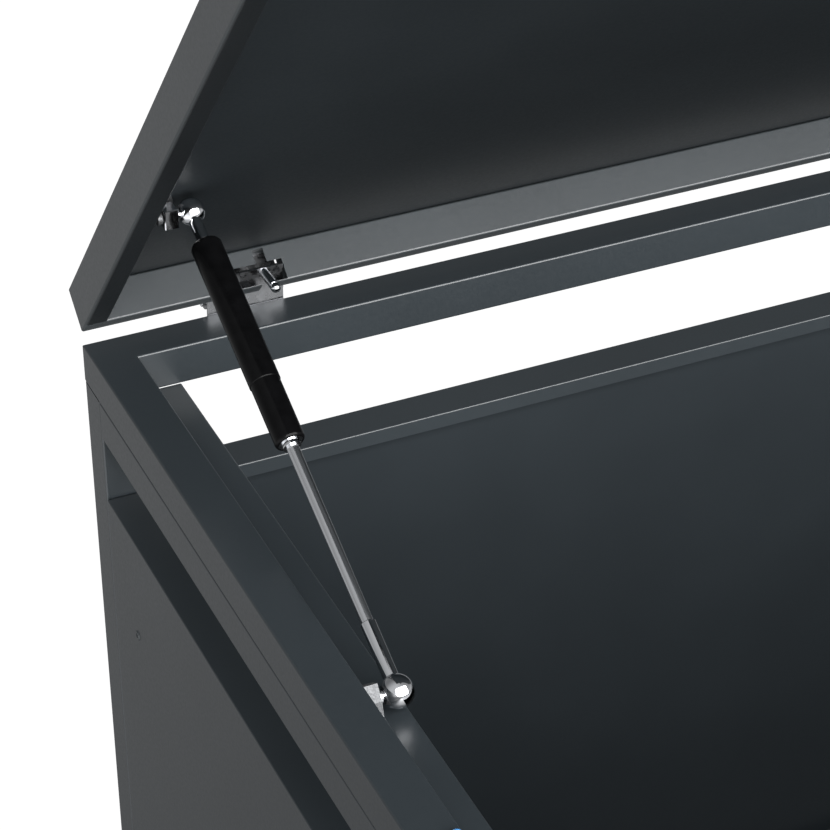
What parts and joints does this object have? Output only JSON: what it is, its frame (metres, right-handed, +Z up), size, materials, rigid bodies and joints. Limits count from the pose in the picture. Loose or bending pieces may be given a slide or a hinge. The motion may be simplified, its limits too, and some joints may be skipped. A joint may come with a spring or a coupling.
{
  "type": "deck storage box",
  "caption": "Garden storage box with a tube frame, folded sheet panels, air gaps under the rim and a hinged tray lid held open by gas struts.",
  "frame": {"origin": "on the ground under the middle of the box as it stands with its lid open", "axes": "+Z up, +X along the box's length to its right, +Y towards the hinge side"},
  "size_m": [1.4816, 0.7052, 1.2676],
  "materials": {
    "frame_coat": "fine textured anthracite powder coat, satin",
    "panel_coat": "fine textured anthracite powder coat, satin",
    "lid_coat": "fine textured anthracite powder coat, satin",
    "bare_metal": "mill finish",
    "foot_plastic": "moulded black",
    "fastener_steel": "zinc plated",
    "screw_coat": "painted to match the panels",
    "bright_chrome": "polished chrome",
    "bracket_steel": "plain plated",
    "rod_steel": "ground and hard chromed",
    "strut_black": "gloss black lacquer",
    "foam_core": "stiff foam sheet",
    "blue_button": "glossy blue elastomer"
  },
  "bodies": {
    "frame": {"ring_rear_rail": "frame_coat", "ring_front_rail": "frame_coat", "left_ring_side_rail": "frame_coat", "right_ring_side_rail": "frame_coat", "left_front_post": "frame_coat", "right_front_post": "frame_coat", "left_rear_post": "frame_coat", "right_rear_post": "frame_coat", "left_side_top_rail": "frame_coat", "right_side_top_rail": "frame_coat", "left_side_bottom_rail": "frame_coat", "right_side_bottom_rail": "frame_coat", "rear_bottom_rail": "frame_coat", "front_bottom_rail": "frame_coat", "floor_bearers": "frame_coat", "floor_panel": "panel_coat", "left_panel": "panel_coat", "right_panel": "panel_coat", "rear_panel": "panel_coat", "front_panel": "panel_coat", "left_liner": "panel_coat", "right_liner": "panel_coat", "rear_liner": "panel_coat", "front_liner": "panel_coat", "panel_stiffeners": "bare_metal", "feet": "foot_plastic", "frame_screws": "fastener_steel", "panel_screws": "screw_coat", "hinge_body_leaves": "bright_chrome", "hinge_pins": "bright_chrome", "hinge_arms": "bright_chrome", "strut_lower_brackets": "bracket_steel", "strut_lower_studs": "bright_chrome", "lid_guide_buttons": "blue_button"},
    "lid": {"lid_skin": "lid_coat", "lid_liner": "lid_coat", "lid_core": "foam_core", "lid_left_tube": "lid_coat", "lid_right_tube": "lid_coat", "lid_rear_tube": "lid_coat", "lid_front_tube": "lid_coat", "hinge_lid_leaves": "bright_chrome", "strut_upper_brackets": "bracket_steel", "lid_screws": "fastener_steel"},
    "left_strut_lower": {"left_strut_rod": "rod_steel", "left_strut_rod_end": "bright_chrome", "left_strut_piston": "rod_steel"},
    "left_strut_upper": {"left_strut_tube": "strut_black", "left_strut_sleeve": "strut_black", "left_strut_gland": "bright_chrome", "left_strut_top_end": "bright_chrome", "left_strut_top_stud": "bright_chrome"},
    "right_strut_lower": {"right_strut_rod": "rod_steel", "right_strut_rod_end": "bright_chrome", "right_strut_piston": "rod_steel"},
    "right_strut_upper": {"right_strut_tube": "strut_black", "right_strut_sleeve": "strut_black", "right_strut_gland": "bright_chrome", "right_strut_top_end": "bright_chrome", "right_strut_top_stud": "bright_chrome"}
  },
  "joints": [
    {"name": "lid_hinge", "type": "hinge", "parent": "frame", "child": "lid", "pos_m": [0, 0.33669, 0.7267], "axis": [1, 0, 0], "range_deg": [0, 49.5]},
    {"name": "left_strut_swing", "type": "hinge", "parent": "frame", "child": "left_strut_lower", "pos_m": [-0.687, -0.08281, 0.705], "axis": [1, 0, 0], "range_deg": [-18.1, 0]},
    {"name": "left_strut_slide", "type": "slide", "parent": "left_strut_lower", "child": "left_strut_upper", "axis": [0, -0.9022, -0.4314], "range_m": [0, 0.09927]},
    {"name": "right_strut_swing", "type": "hinge", "parent": "frame", "child": "right_strut_lower", "pos_m": [0.687, -0.08281, 0.705], "axis": [1, 0, 0], "range_deg": [-18.1, 0]},
    {"name": "right_strut_slide", "type": "slide", "parent": "right_strut_lower", "child": "right_strut_upper", "axis": [0, -0.9022, -0.4314], "range_m": [0, 0.09927]}
  ],
  "couplings": [
    {"joint": "left_strut_swing", "follows": "lid_hinge", "ratio": -0.36546},
    {"joint": "left_strut_slide", "follows": "lid_hinge", "m_per_rad": 0.11479},
    {"joint": "right_strut_swing", "follows": "lid_hinge", "ratio": -0.36546},
    {"joint": "right_strut_slide", "follows": "lid_hinge", "m_per_rad": 0.11479}
  ]
}
